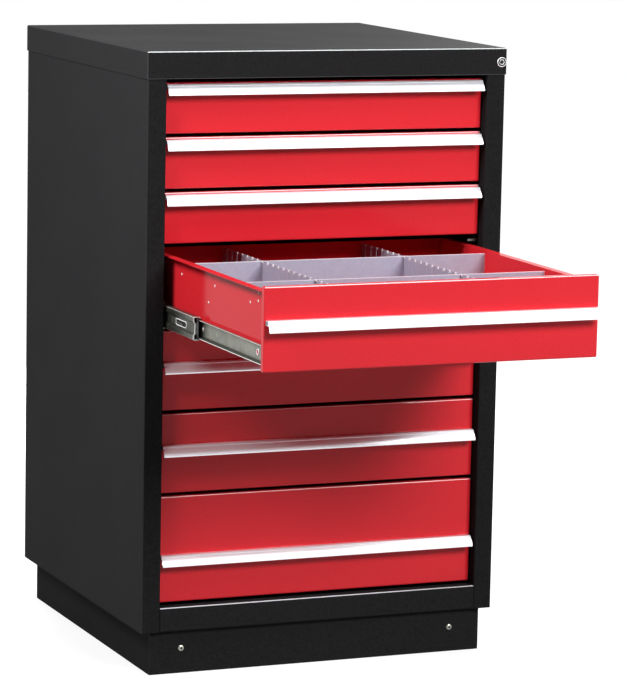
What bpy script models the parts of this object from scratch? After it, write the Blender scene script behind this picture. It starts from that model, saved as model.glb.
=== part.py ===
"""Industrial drawer cabinet: seven drawers on three-member ball-bearing slides, the fourth one open.

Metres, +Z up, front towards -Y. The origin is on the floor, under the middle of the whole
object with its open drawer out.
"""

from math import cos, pi, radians, sin, tan

import bmesh
import bpy
from mathutils import Matrix, Vector

# General
fit_gap = 0.0003
overrun = 0.004
smooth_angle = radians(35)

# Housing
cover_width = 0.718
cover_depth = 0.705
cabinet_height = 1.160
skirt_height = 0.050
housing_sheet = 0.0015
housing_bend = 0.001
cover_edge_radius = 0.0026
panel_top_drop = 0.0015
stile_width = 0.037
stile_return = 0.024
rail_height = 0.046
rail_return = 0.015
rear_flange = 0.015
floor_rear_lip = 0.015

# Base
plinth_height = 0.0827
plinth_side_inset = 0.0225
plinth_front_inset = 0.0125
plinth_rear_inset = 0.022
plinth_sheet = 0.002
plinth_flange = 0.028
fork_opening_side_inset = 0.0965
fork_opening_margin = 0.0173
plinth_screw_inset = 0.062
plinth_screw_rise = 0.0067
screw_head_diameter = 0.0125
screw_head_height = 0.0034
screw_socket_diameter = 0.0048
screw_socket_depth = 0.0018
screw_shank_diameter = 0.006
screw_shank_length = 0.012

# Drawers, from the top down: their shares of the height that the fronts fill
front_height_shares = (47, 47, 47, 74, 74, 74, 100)
open_drawer_drop = 0.003
front_side_gap = 0.0017
front_gap = 0.007
lowest_front_gap = 0.0056
highest_front_gap = 0.0077
front_recess = 0.0215
front_pan_depth = 0.012
front_sheet = 0.0012
front_bend = 0.0024
front_return = 0.026
drawer_open_share = 0.8328
box_sheet = 0.0012
box_margin = 0.0114
box_rear_overhang = 0.0018
box_flange = 0.0137
flange_front_notch = 0.006
flange_rear_notch = 0.012

# Pulls: an extruded profile whose face curves out and down from a ledge
pull_end_inset = 0.003
pull_top_margin = 0.0035
pull_height = 0.0195
pull_projection = 0.0215
pull_ledge_reach = 0.0105
pull_wall = 0.0018
pull_ledge_thickness = 0.0014
pull_lip_height = 0.0042
pull_lip_thickness = 0.0026
pull_ridge_height = 0.0026
pull_label_recess = 0.0006
pull_foot_height = 0.0085
pull_rib_share = 0.36
pull_face_steps = 6

# Slides: thickness across the gap between post and drawer, then each member's section
slide_thickness = 0.019
slide_centre_share = 0.2606
slide_front_gap = 0.0045
slide_rear_gap = 0.0534
slide_sheet = 0.0012
slide_bend = 0.0006
cabinet_member_height = 0.053
cabinet_member_depth = 0.0127
cabinet_member_lip = 0.0035
ball_diameter = 0.0038
ball_seat = 0.00015
hidden_ball_count = 2
hidden_ball_pitch = 0.190
hidden_ball_start = 0.030
outer_ball_reach = 0.0088
middle_web_gap = 0.0016
middle_step = 0.003
middle_step_height = 0.009
middle_step_rise = 0.003
middle_lip_depth = 0.0130
middle_lip = 0.0033
middle_window_length = 0.016
middle_window_height = 0.0095
middle_window_place = 0.100
middle_tongue_length = 0.009
middle_tongue_height = 0.0055
middle_open_share = 0.342
drawer_member_lip = 0.0018
drawer_member_depth = 0.0097
drawer_member_hole_diameter = 0.0062
drawer_member_hole_place = 0.250
drawer_member_slot_length = 0.011
drawer_member_slot_height = 0.0052
drawer_member_slot_place = 0.012
cage_sheet = 0.0008
cage_gap = 0.0004
cage_length = 0.230
cage_lead = 0.014
cage_ball_count = 4
cage_ball_pitch = 0.060
cage_arm_rise = 0.0006
cage_ball_lip_gap = 0.0004

# Posts
post_stile_overlap = 0.0027
post_width = 0.030
post_front_gap = 0.001
rear_post_inset = 0.040

# Lock
lock_side_inset = 0.012
lock_drop = 0.0264
lock_bezel_diameter = 0.019
lock_bezel_height = 0.003
lock_barrel_diameter = 0.015
lock_plug_diameter = 0.0110
lock_plug_recess = 0.0004
key_slot_height = 0.0075
key_slot_width = 0.0018
key_slot_depth = 0.010
cam_thickness = 0.003
cam_throw = 0.005
cam_lag_share = 0.2105
cam_half_width = 0.0045
cam_pin_diameter = 0.003
cam_pin_length = 0.0027
bar_thickness = 0.0025
bar_front_gap = 0.0007
bar_width = 0.0145
bar_slot_wall = 0.0025
bar_head_margin = 0.004
bar_head_side_gap = 0.0027
bar_slot_gap = 0.0008
tab_height = 0.004
tab_clearance = 0.0016
tab_reach = 0.0055
catch_height = 0.005
catch_inset = 0.0035
catch_width = 0.009
catch_length = 0.006
catch_gap = 0.0043

# Fittings of the open drawer
partition_sheet = 0.0010
partition_shares = (0.2452, 0.7203)
divider_drop = 0.0047
divider_end_gap = 0.0004
divider_slot_pitch = 0.0254
divider_slot_start = 0.0076
divider_slot_width = 0.0022
divider_slot_share = 0.55
front_divider_slot = 6
rear_divider_slot = 16

# Overall places, worked out from the sizes above
slide_setback = front_recess + front_pan_depth + slide_front_gap
slide_length = cover_depth - 2 * (housing_sheet + fit_gap) - slide_setback - slide_rear_gap
drawer_open = slide_length * drawer_open_share
body_half_width = cover_width / 2 - housing_sheet - fit_gap
pull_tip_reach = drawer_open + pull_projection - front_recess - housing_sheet - fit_gap
rear_y = (cover_depth + pull_tip_reach) / 2
cover_front_y = rear_y - cover_depth
body_front_y = cover_front_y + housing_sheet + fit_gap
body_rear_y = rear_y - housing_sheet - fit_gap
panel_rear_y = body_rear_y - housing_sheet - fit_gap
body_floor_z = plinth_height
body_top_z = cabinet_height - housing_sheet - panel_top_drop
floor_top_z = body_floor_z + housing_sheet
stile_inner_x = body_half_width - stile_width
plinth_half_width = cover_width / 2 - plinth_side_inset
front_face_y = body_front_y + front_recess
front_half_width = stile_inner_x - front_side_gap
box_front_y = front_pan_depth + fit_gap
box_side_y = front_pan_depth + slide_front_gap
box_depth = box_side_y - box_front_y + slide_length + box_rear_overhang
slide_front_y = front_face_y + box_side_y
post_face_x = stile_inner_x - post_stile_overlap
box_half_width = post_face_x - slide_thickness
post_front_y = slide_front_y - post_front_gap
lock_x = cover_width / 2 - lock_side_inset
lock_z = cabinet_height - lock_drop
bar_rear_y = post_front_y - fit_gap
bar_front_y = bar_rear_y - bar_thickness
cam_rear_y = bar_front_y - fit_gap
lowest_front_z = body_floor_z + rail_height + lowest_front_gap
highest_front_z = cabinet_height - skirt_height - highest_front_gap
fronts_height = highest_front_z - lowest_front_z - front_gap * (len(front_height_shares) - 1)
front_heights = [fronts_height * share / sum(front_height_shares) for share in front_height_shares]
shallowest_front = min(front_heights)
pull_base = shallowest_front - pull_top_margin - pull_height
slide_centre_height = shallowest_front * slide_centre_share


def finish(name, colour, metallic, roughness):
    """A plain paint, metal or plastic for the sub-parts."""
    made = bpy.data.materials.new(name)
    made.use_nodes = True
    shader = made.node_tree.nodes["Principled BSDF"]
    shader.inputs["Base Color"].default_value = (*colour, 1)
    shader.inputs["Metallic"].default_value = metallic
    shader.inputs["Roughness"].default_value = roughness
    made.diffuse_color = (*colour, 1)
    return made


def clear_scene():
    for old in list(bpy.data.objects):
        bpy.data.objects.remove(old, do_unlink=True)


def add_object(name, shape, look, parent=None, place=(0, 0, 0)):
    """Turns a bmesh into a named object, smooth on its round stretches."""
    mesh = bpy.data.meshes.new(name)
    shape.to_mesh(mesh)
    shape.free()
    mesh.shade_smooth()
    mesh.set_sharp_from_angle(angle=smooth_angle)
    made = bpy.data.objects.new(name, mesh)
    bpy.context.scene.collection.objects.link(made)
    if look:
        mesh.materials.append(look)
    made.parent = parent
    made.location = place
    return made


def add_helper(name, shape, parent=None, place=(0, 0, 0)):
    """A cutter or a shape to be joined, which isn't a sub-part by itself."""
    made = add_object(name, shape, None, parent, place)
    made.hide_render = True
    made.display_type = "WIRE"
    return made


def add_empty(name, place, parent=None):
    made = bpy.data.objects.new(name, None)
    bpy.context.scene.collection.objects.link(made)
    made.parent = parent
    made.location = place
    return made


def cut(target, cutter):
    modifier = target.modifiers.new("cut_" + cutter.name, "BOOLEAN")
    modifier.operation = "DIFFERENCE"
    modifier.solver = "EXACT"
    modifier.object = cutter


def unite(target, helper):
    modifier = target.modifiers.new("join_" + helper.name, "BOOLEAN")
    modifier.operation = "UNION"
    modifier.solver = "EXACT"
    modifier.object = helper


def thicken(target, thickness, flanged=False):
    """Gives a sheet its wall, inwards from its outer face. Faces that meet mid-edge need flanged."""
    modifier = target.modifiers.new("sheet", "SOLIDIFY")
    modifier.thickness = thickness
    modifier.offset = -1
    modifier.use_even_offset = True
    if flanged:
        modifier.solidify_mode = "NON_MANIFOLD"
        modifier.nonmanifold_thickness_mode = "CONSTRAINTS"


def extrude(outline, start, end, axis):
    """Extrudes a closed outline along an axis. Its points are in the other two axes, in X, Y, Z order."""
    shape = bmesh.new()
    places = {
        "X": lambda u, v: (start, u, v),
        "Y": lambda u, v: (u, start, v),
        "Z": lambda u, v: (u, v, start),
    }
    along = {"X": (1, 0, 0), "Y": (0, 1, 0), "Z": (0, 0, 1)}
    face = shape.faces.new([shape.verts.new(places[axis](u, v)) for u, v in outline])
    grown = bmesh.ops.extrude_face_region(shape, geom=[face])["geom"]
    moved = [item for item in grown if isinstance(item, bmesh.types.BMVert)]
    bmesh.ops.translate(shape, verts=moved, vec=Vector(along[axis]) * (end - start))
    bmesh.ops.recalc_face_normals(shape, faces=shape.faces)
    return shape


def block(low, high):
    """A rectangular block between two corners."""
    outline = [(low[0], low[1]), (high[0], low[1]), (high[0], high[1]), (low[0], high[1])]
    return extrude(outline, low[2], high[2], "Z")


def fold(path, thickness, bend, steps=2):
    """The outline of a folded sheet: path runs along its middle, bend is the inner radius."""
    half = thickness / 2
    points = [Vector(point) for point in path]
    left, right = [], []
    for index, point in enumerate(points):
        before = (point - points[index - 1]).normalized() if index else None
        after = (points[index + 1] - point).normalized() if index + 1 < len(points) else None
        heading = before or after
        normal = Vector((-heading.y, heading.x))
        if before is None or after is None:
            left.append(point + normal * half)
            right.append(point - normal * half)
            continue
        turn = before.angle_signed(after) * -1
        side = 1 if turn > 0 else -1
        radius = bend + half
        centre = point - before * radius * tan(abs(turn) / 2) + normal * side * radius
        for step in range(steps + 1):
            ray = Matrix.Rotation(turn * step / steps, 2) @ (normal * -side)
            left.append(centre + ray * (radius - side * half))
            right.append(centre + ray * (radius + side * half))
    return left + right[::-1]


def cylinder(radius, start, end, centre, segments):
    """A cylinder along Y, around a centre in X and Z."""
    turns = [2 * pi * step / segments for step in range(segments)]
    ring = [(centre[0] + radius * cos(turn), centre[1] + radius * sin(turn)) for turn in turns]
    return extrude(ring, start, end, "Y")


def open_pan(low, high, open_side, bend, inner_return=0):
    """The outer faces of a folded pan with rounded edges, open on one side but for its returns."""
    shape = block(low, high)
    normal = Vector(open_side)
    shape.normal_update()
    rim = [face for face in shape.faces if face.normal.dot(normal) > cos(smooth_angle)]
    folds = [edge for edge in shape.edges if edge not in rim[0].edges[:]]
    if inner_return:
        bmesh.ops.inset_individual(shape, faces=rim, thickness=inner_return)
    bmesh.ops.delete(shape, geom=rim, context="FACES_ONLY")
    bmesh.ops.bevel(
        shape, geom=folds, offset=bend, segments=2, profile=0.5, affect="EDGES", clamp_overlap=True
    )
    return shape


def baked(source):
    """The mesh of an object with its modifiers applied, for objects that share it."""
    graph = bpy.context.evaluated_depsgraph_get()
    mesh = bpy.data.meshes.new_from_object(source.evaluated_get(graph))
    mesh.name = source.name + "_mesh"
    return mesh


def mirrored(outline, side):
    """The outline with its first coordinate turned to the left or the right side."""
    return [(side * point[0], point[1]) for point in outline]


def make_side_panel(name, side, look):
    """Side sheet, front stile with its return, and rear flange, folded from one sheet."""
    half = housing_sheet / 2
    outer = body_half_width - half
    front = body_front_y + half
    inner = stile_inner_x + half
    path = (
        (outer - rear_flange, panel_rear_y - half),
        (outer, panel_rear_y - half),
        (outer, front),
        (inner, front),
        (inner, body_front_y + stile_return),
    )
    outline = mirrored(fold(path, housing_sheet, housing_bend), side)
    return add_object(name, extrude(outline, body_floor_z, body_top_z, "Z"), look)


def make_back_panel(look):
    width = body_half_width - housing_bend
    low = (-width, panel_rear_y + fit_gap, body_floor_z)
    high = (width, body_rear_y, body_top_z)
    return add_object("back_panel", block(low, high), look)


def make_floor(look):
    """Flat sheet between the side panels, narrower between the stiles, with a lip at the rear."""
    wide = body_half_width - housing_sheet - fit_gap
    narrow = stile_inner_x - fit_gap
    front = body_front_y + rail_return + fit_gap
    step = body_front_y + stile_return + fit_gap
    rear = panel_rear_y - housing_sheet - fit_gap
    outline = (
        (-narrow, front),
        (narrow, front),
        (narrow, step),
        (wide, step),
        (wide, rear),
        (-wide, rear),
        (-wide, step),
        (-narrow, step),
    )
    floor = add_object("cabinet_floor", extrude(outline, body_floor_z, floor_top_z, "Z"), look)
    lip_low = (-wide + overrun, rear - housing_sheet, body_floor_z + housing_sheet / 2)
    lip_high = (wide - overrun, rear - fit_gap, body_floor_z + floor_rear_lip)
    unite(floor, add_helper("floor_rear_lip", block(lip_low, lip_high)))
    return floor


def make_front_rail(look):
    """Channel between the stiles, under the lowest drawer."""
    half = housing_sheet / 2
    front = body_front_y + half
    top = body_floor_z + rail_height - half
    bottom = body_floor_z + half
    path = (
        (body_front_y + stile_return, top),
        (front, top),
        (front, bottom),
        (body_front_y + rail_return, bottom),
    )
    width = stile_inner_x - fit_gap
    outline = fold(path, housing_sheet, housing_bend)
    return add_object("front_rail", extrude(outline, -width, width, "X"), look)


def make_cover(look):
    """Folded pan over the housing, its skirt outside the panels on all four sides."""
    low = (-cover_width / 2, cover_front_y, cabinet_height - skirt_height)
    high = (cover_width / 2, rear_y, cabinet_height)
    cover = add_object("top_cover", open_pan(low, high, (0, 0, -1), cover_edge_radius), look)
    thicken(cover, housing_sheet)
    return cover


def make_plinth_frame(look):
    """Channel frame: walls with flanges turned in at the top and the bottom, open in the middle."""
    x = plinth_half_width
    front = cover_front_y + plinth_front_inset + plinth_sheet + fit_gap
    rear = rear_y - plinth_rear_inset
    shape = block((-x, front, 0), (x, rear, plinth_height - fit_gap))
    ends = [face for face in shape.faces if abs(face.normal.z) > cos(smooth_angle)]
    bmesh.ops.inset_individual(shape, faces=ends, thickness=plinth_flange)
    bmesh.ops.delete(shape, geom=ends, context="FACES")
    frame = add_object("plinth_frame", shape, look)
    thicken(frame, plinth_sheet)
    fork_x = plinth_half_width - fork_opening_side_inset
    low = (-fork_x, front - overrun, fork_opening_margin)
    high = (fork_x, front + overrun, plinth_height - fork_opening_margin)
    cut(frame, add_helper("fork_opening", block(low, high)))
    return frame


def make_plinth_cover(look):
    """The flat front panel, which covers the frame's fork opening."""
    front = cover_front_y + plinth_front_inset
    low = (-plinth_half_width, front, fit_gap)
    high = (plinth_half_width, front + plinth_sheet, plinth_height - fit_gap)
    return add_object("plinth_front_panel", block(low, high), look)


def make_plinth_screws(frame, panel, look):
    """Dome-head screws through the front panel into the frame."""
    face = cover_front_y + plinth_front_inset
    for side, label in ((-1, "left"), (1, "right")):
        x = plinth_half_width - plinth_screw_inset
        centre = (side * x, plinth_height / 2 + plinth_screw_rise)
        place = (centre[0], face - fit_gap, centre[1])
        screw = add_object("plinth_screw_" + label, dome_screw(), look, place=place)
        socket = cylinder(
            screw_socket_diameter / 2,
            -screw_head_height - overrun,
            -screw_head_height + screw_socket_depth,
            (0, 0),
            6,
        )
        cut(screw, add_helper("screw_socket_" + label, socket, screw))
        hole = cylinder(
            screw_shank_diameter / 2 + fit_gap, face - overrun, face + screw_shank_length, centre, 12
        )
        hole_cutter = add_helper("screw_hole_" + label, hole)
        cut(panel, hole_cutter)
        cut(frame, hole_cutter)


def dome_screw():
    """Turned profile of a dome head and a shank, with its axis along Y and the head's face at zero."""
    shape = bmesh.new()
    head = screw_head_diameter / 2
    shank = screw_shank_diameter / 2
    profile = [(0, screw_shank_length), (shank, screw_shank_length), (shank, 0), (head, 0)]
    for turn in (radians(30), radians(60)):
        profile.append((head * cos(turn), -screw_head_height * sin(turn)))
    profile.append((0, -screw_head_height))
    points = [shape.verts.new((x, y, 0)) for x, y in profile]
    edges = [shape.edges.new(pair) for pair in zip(points, points[1:])]
    bmesh.ops.spin(
        shape, geom=points + edges, cent=(0, 0, 0), axis=(0, 1, 0), angle=2 * pi, steps=12
    )
    bmesh.ops.remove_doubles(shape, verts=shape.verts, dist=fit_gap / 10)
    bmesh.ops.recalc_face_normals(shape, faces=shape.faces)
    return shape


def member_outline(side, path):
    """A slide member's section: t runs from the post's face towards the drawer."""
    placed = [(side * (post_face_x - t), z) for t, z in path]
    return fold(placed, slide_sheet, slide_bend, steps=1)


def slot_cutter(side, t, y, length, height, segments=6):
    """A slot with round ends through a slide's web: y is its front end, t the web's place."""
    half = height / 2
    ends = ((y + half, radians(90)), (y + length - half, radians(-90)))
    outline = []
    for centre, start in ends:
        for step in range(segments + 1):
            turn = start + pi * step / segments
            outline.append((centre + half * cos(turn), half * sin(turn)))
    xs = sorted(side * (post_face_x - t + way * slide_sheet) for way in (-1, 1))
    return extrude(outline, xs[0], xs[1], "X")


def both_ways(path):
    """A section's upper half, from its lip to its middle, with the lower half as its mirror."""
    return path + [(t, -z) for t, z in reversed(path)]


def cabinet_member(side, web):
    """C section whose lips hold the outer balls. web is where the middle of its back lies."""
    flange = (cabinet_member_height - slide_sheet) / 2
    lip = cabinet_member_depth - slide_sheet / 2
    path = both_ways([(lip, flange - cabinet_member_lip), (lip, flange), (web, flange)])
    return member_outline(side, path)


def race_gap():
    return ball_diameter + fit_gap


def ball_rows(side, t, z, start, pitch, count, radius, detail):
    """Two rows of balls along Y, one above and one below the slide's centre."""
    balls = bmesh.new()
    for row in (-1, 1):
        for number in range(count):
            centre = (side * (post_face_x - t), start + number * pitch, row * z)
            place = Matrix.Translation(centre)
            bmesh.ops.create_icosphere(balls, subdivisions=detail, radius=radius, matrix=place)
    return balls


def hidden_balls(name, side, t, flange_inside, parent, place):
    """Balls seated in the race under a flange, in the half of a member that is never drawn clear."""
    radius = ball_diameter / 2
    z = flange_inside - radius + ball_seat
    shape = ball_rows(side, t, z, hidden_ball_start, hidden_ball_pitch, hidden_ball_count, radius, 1)
    return add_helper(name, shape, parent, place)


def cabinet_member_balls(name, side, place):
    inside = cabinet_member_height / 2 - slide_sheet
    return hidden_balls(name, side, outer_ball_reach, inside, None, place)


def middle_flange():
    """Height of the middle of the intermediate member's flange, under the outer balls."""
    return cabinet_member_height / 2 - slide_sheet - race_gap() - slide_sheet / 2


def middle_web():
    return fit_gap + slide_sheet + middle_web_gap + slide_sheet / 2


def inner_ball_t():
    """How far from the post's face the inner balls run, behind the intermediate member's lips."""
    lip_face = middle_web() + middle_lip_depth - 1.5 * slide_sheet
    return lip_face - cage_ball_lip_gap - ball_diameter / 2


def middle_member(side):
    """Stepped web with flanges that run between the outer and the inner balls."""
    web = middle_web()
    flange = middle_flange()
    lip = web + middle_lip_depth - slide_sheet
    step = middle_step_height + middle_step_rise
    path = both_ways(
        [
            (lip, flange - middle_lip),
            (lip, flange),
            (web, flange),
            (web, step),
            (web + middle_step, middle_step_height),
        ]
    )
    return member_outline(side, path)


def drawer_member_flange():
    return middle_flange() - slide_sheet - race_gap()


def drawer_member(side, web):
    """Channel on the drawer's side, its lips turned out to hold the inner balls."""
    flange = drawer_member_flange()
    lip = slide_thickness - drawer_member_depth + slide_sheet / 2
    path = both_ways([(lip, flange + drawer_member_lip), (lip, flange), (web, flange)])
    return member_outline(side, path)


def window_cutters(side, parent, label):
    """A window in the intermediate member's web that leaves a tongue standing in it."""
    low_x = post_face_x - middle_web() - middle_step - slide_sheet
    xs = sorted((side * low_x, side * (low_x + 2 * slide_sheet)))
    half = middle_window_height / 2
    end = middle_window_place + middle_window_length
    window = block((xs[0], middle_window_place, -half), (xs[1], end, half))
    tongue_half = middle_tongue_height / 2
    tongue = block(
        (xs[0] - overrun, end - middle_tongue_length, -tongue_half),
        (xs[1] + overrun, end + overrun, tongue_half),
    )
    cutter = add_helper("window_" + label, window, parent)
    cut(cutter, add_helper("tongue_" + label, tongue, parent))
    return cutter


def make_middle_mesh(side, label, opened):
    """An intermediate member's mesh. The closed slides on a side share one, with its inner balls."""
    name = "middle_member_" + label + ("_open" if opened else "")
    source = add_helper(name, extrude(middle_member(side), 0, slide_length, "Y"))
    cut(source, window_cutters(side, source, label))
    if not opened:
        inside = middle_flange() - slide_sheet / 2
        place = (0, 0, 0)
        unite(source, hidden_balls(name + "_balls", side, inner_ball_t(), inside, source, place))
    return baked(source)


def make_rack(side, label, slides, look):
    """Front and rear posts with the closed drawers' cabinet members fixed to them."""
    posts = []
    half = housing_sheet / 2
    outer = body_half_width - housing_sheet - fit_gap
    top = cabinet_height - housing_sheet - fit_gap
    rear_post_y = slide_front_y + slide_length - rear_post_inset
    for front in (post_front_y, rear_post_y):
        path = (
            (outer, front + half),
            (post_face_x + half, front + half),
            (post_face_x + half, front + post_width - half),
            (outer, front + post_width - half),
        )
        outline = mirrored(fold(path, housing_sheet, housing_bend), side)
        posts.append(extrude(outline, floor_top_z + fit_gap, top, "Z"))
    rack = add_object("slide_rack_" + label, posts[0], look)
    unite(rack, add_helper("rear_post_" + label, posts[1]))
    web = slide_sheet / 2 - fit_gap / 2
    section = cabinet_member(side, web)
    for number, slide_z in slides:
        member = extrude(section, 0, slide_length, "Y")
        place = (0, slide_front_y, slide_z)
        unite(rack, add_helper(f"rack_member_{number}_{label}", member, None, place))
        unite(rack, cabinet_member_balls(f"rack_balls_{number}_{label}", side, place))
    return rack


def make_drawer_box(name, height, parent, look, slides_joined):
    """Open-topped box with out-turned top flanges, and the slides' drawer members on its sides."""
    x = box_half_width
    top = height - 2 * box_margin - box_sheet
    front = 0
    rear = box_depth
    notch = flange_front_notch
    tail = box_depth - flange_rear_notch
    shape = bmesh.new()

    def face(*corners):
        shape.faces.new([shape.verts.new(corner) for corner in corners])

    face((-x, front, 0), (-x, rear, 0), (x, rear, 0), (x, front, 0))
    face((-x, front, 0), (x, front, 0), (x, front, top), (-x, front, top))
    face((x, rear, 0), (-x, rear, 0), (-x, rear, top), (x, rear, top))
    for side in (-1, 1):
        wall = ((front, 0), (rear, 0), (rear, top), (tail, top), (notch, top), (front, top))
        face(*[(side * x, y, z) for y, z in (wall if side > 0 else wall[::-1])])
        edge = side * (x + box_flange)
        flange = ((side * x, notch), (side * x, tail), (edge, tail), (edge, notch))
        face(*[(u, v, top) for u, v in (flange if side > 0 else flange[::-1])])
    bmesh.ops.remove_doubles(shape, verts=shape.verts, dist=fit_gap / 10)
    box = add_object(name, shape, look, parent, (0, box_front_y, box_margin))
    thicken(box, box_sheet, flanged=True)
    centre = slide_centre_height - box_margin
    if slides_joined:
        web = slide_thickness - slide_sheet / 2 + fit_gap / 2
        for side, label in ((-1, "left"), (1, "right")):
            start = box_side_y - box_front_y
            shape = extrude(drawer_member(side, web), start, start + slide_length - overrun, "Y")
            member = add_helper(f"{name}_member_{label}", shape, box, (0, 0, centre))
            unite(box, member)
    catch_y = bar_rear_y + catch_gap - front_face_y - box_front_y
    low = (x + catch_inset, catch_y, top + box_sheet / 2)
    high = (low[0] + catch_width, catch_y + catch_length, top + box_sheet + catch_height)
    unite(box, add_helper(name + "_catch", block(low, high), box))
    return box


def make_front(name, height, parent, look):
    low = (-front_half_width, 0, 0)
    high = (front_half_width, front_pan_depth, height)
    shape = open_pan(low, high, (0, 1, 0), front_bend, front_return)
    front = add_object(name, shape, look, parent)
    thicken(front, front_sheet, flanged=True)
    return front


def pull_face(share, inset):
    """A point on the pull's face, from its top at 0 to its bottom at 1, that far inside the surface."""
    reach = pull_projection - pull_ledge_reach
    depth = pull_ledge_reach + reach * sin(share * pi / 2)
    height = pull_height * (1 - share)
    slope = Vector((reach * cos(share * pi / 2) * pi / 2, -pull_height)).normalized()
    inward = Vector((slope.y, -slope.x))
    return Vector((depth, height)) + inward * inset


def pull_outline():
    """The extruded pull's section: d runs out from the drawer front, z up from the pull's lower edge."""
    label_start = pull_ridge_height / pull_height
    label_end = 1 - pull_lip_height / pull_height
    face = [(fit_gap, pull_height), (pull_ledge_reach, pull_height)]
    face.append(pull_face(label_start, 0))
    for step in range(pull_face_steps + 1):
        share = label_start + (label_end - label_start) * step / pull_face_steps
        face.append(pull_face(share, pull_label_recess))
    face.append(pull_face(label_end, 0))
    face.append((pull_projection, pull_lip_height / 2))
    face.append((pull_projection, 0))
    back = [(pull_projection - pull_lip_thickness, 0)]
    rib_z = pull_height * (1 - pull_rib_share)
    for step in range(pull_face_steps + 1):
        share = 1 - (1 - label_start) * step / pull_face_steps
        point = pull_face(share, pull_lip_thickness if share == 1 else pull_label_recess + pull_wall)
        if point.y < pull_height - pull_ledge_thickness:
            back.append(point)
    upper = [point for point in back[1:] if point.y > rib_z]
    lower = [point for point in back[1:] if point.y < rib_z - pull_ledge_thickness]
    rib_end = max(lower[-1].x, upper[0].x)
    foot = fit_gap + pull_ledge_thickness
    foot_z = pull_height - pull_foot_height
    outline = face + back[:1] + lower[1:]
    outline += [(rib_end, rib_z - pull_ledge_thickness), (foot, rib_z - pull_ledge_thickness)]
    outline += [(foot, foot_z), (fit_gap, foot_z)]
    return outline, rib_z, foot, upper


def make_pull(name, parent, look):
    """Full-width extrusion: ledge, curved face with a label band between two lips, foot and rib."""
    outline, rib_z, foot, upper = pull_outline()
    x = front_half_width - pull_end_inset
    placed = [(-d, z) for d, z in outline]
    pull = add_object(name, extrude(placed, -x, x, "X"), look, parent, (0, 0, pull_base))
    hollow = [(foot, rib_z), (foot, pull_height - pull_ledge_thickness)]
    hollow += [(upper[-1].x, pull_height - pull_ledge_thickness)]
    hollow += [tuple(point) for point in reversed(upper)] + [(upper[0].x, rib_z)]
    channel = extrude([(-d, z) for d, z in hollow], -x - overrun, x + overrun, "X")
    cut(pull, add_helper(name + "_channel", channel, pull))
    return pull


def make_cage(name, side, parent, look):
    """U-shaped retainer between the open drawer's inner two members, holding both rows of balls."""
    web = middle_web() + middle_step + slide_sheet / 2 + cage_gap + cage_sheet / 2
    race = middle_flange() - slide_sheet / 2 - race_gap() / 2
    ball_t = inner_ball_t()
    arm = race + cage_arm_rise
    path = both_ways([(ball_t + ball_diameter / 2 - cage_gap, arm), (web, arm)])
    placed = [(side * (post_face_x - t), z) for t, z in path]
    outline = fold(placed, cage_sheet, cage_gap)
    cage = add_object(name, extrude(outline, -cage_lead, cage_length - cage_lead, "Y"), look, parent)
    radius = (ball_diameter - fit_gap) / 2
    balls = ball_rows(side, ball_t, race, 0, cage_ball_pitch, cage_ball_count, radius, 2)
    unite(cage, add_helper(name + "_balls", balls, cage))
    return cage


def partition_places():
    """The partitions' places across the box, from its left inner face."""
    inside = box_half_width - box_sheet
    return [inside * (2 * share - 1) for share in partition_shares]


def make_partition(name, x, box_height, parent, look):
    """Front-to-back sheet with open slots at an even pitch, into which cross dividers drop."""
    low = box_sheet + fit_gap
    high = box_height - divider_drop
    front = box_sheet + divider_end_gap
    rear = box_depth - box_sheet - divider_end_gap
    slot_floor = high - (high - low) * divider_slot_share
    half = divider_slot_width / 2
    outline = [(front, low), (rear, low), (rear, high)]
    count = int((rear - front - divider_slot_start) / divider_slot_pitch)
    for number in range(count, -1, -1):
        middle = front + divider_slot_start + number * divider_slot_pitch
        for y, z in ((half, high), (half, slot_floor), (-half, slot_floor), (-half, high)):
            outline.append((middle + y, z))
    outline.append((front, high))
    low_x = x - partition_sheet / 2
    place = (0, box_front_y, box_margin)
    return add_object(
        name, extrude(outline, low_x, low_x + partition_sheet, "X"), look, parent, place
    )


def make_divider(name, slot, box_height, parent, look):
    """Cross sheet, notched from below where it crosses the partitions."""
    low = box_sheet + fit_gap
    high = box_height - divider_drop
    x = box_half_width - box_sheet - divider_end_gap
    notch_top = high - (high - low) * divider_slot_share + fit_gap
    half = divider_slot_width / 2
    outline = [(x, low), (x, high), (-x, high), (-x, low)]
    for partition_x in partition_places():
        for u, z in ((-half, low), (-half, notch_top), (half, notch_top), (half, low)):
            outline.append((partition_x + u, z))
    y = box_sheet + divider_end_gap + divider_slot_start + slot * divider_slot_pitch
    low_y = y - partition_sheet / 2
    place = (0, box_front_y, box_margin)
    return add_object(
        name, extrude(outline, low_y, low_y + partition_sheet, "Y"), look, parent, place
    )


def make_lock(cover, panel, looks, tab_heights):
    """Chrome-faced lock body, key plug with its cam, and the bar that the cam's pin lowers."""
    body = add_object("lock_body", lock_body_shape(), looks["chrome"], place=(lock_x, 0, lock_z))
    barrel_end = cam_rear_y - cam_thickness - fit_gap
    bore = cylinder(
        lock_plug_diameter / 2 + fit_gap,
        cover_front_y - lock_bezel_height - overrun,
        barrel_end + overrun,
        (0, 0),
        24,
    )
    cut(body, add_helper("lock_bore", bore, body))
    hole = cylinder(
        lock_barrel_diameter / 2 + fit_gap,
        cover_front_y - overrun,
        body_front_y + housing_sheet + overrun,
        (lock_x, lock_z),
        24,
    )
    hole_cutter = add_helper("lock_hole", hole)
    cut(cover, hole_cutter)
    cut(panel, hole_cutter)
    pivot = add_empty("lock_axis", (lock_x, cover_front_y, lock_z))
    make_plug(pivot, looks["chrome"])
    make_bar(looks["zinc"], tab_heights)


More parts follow.
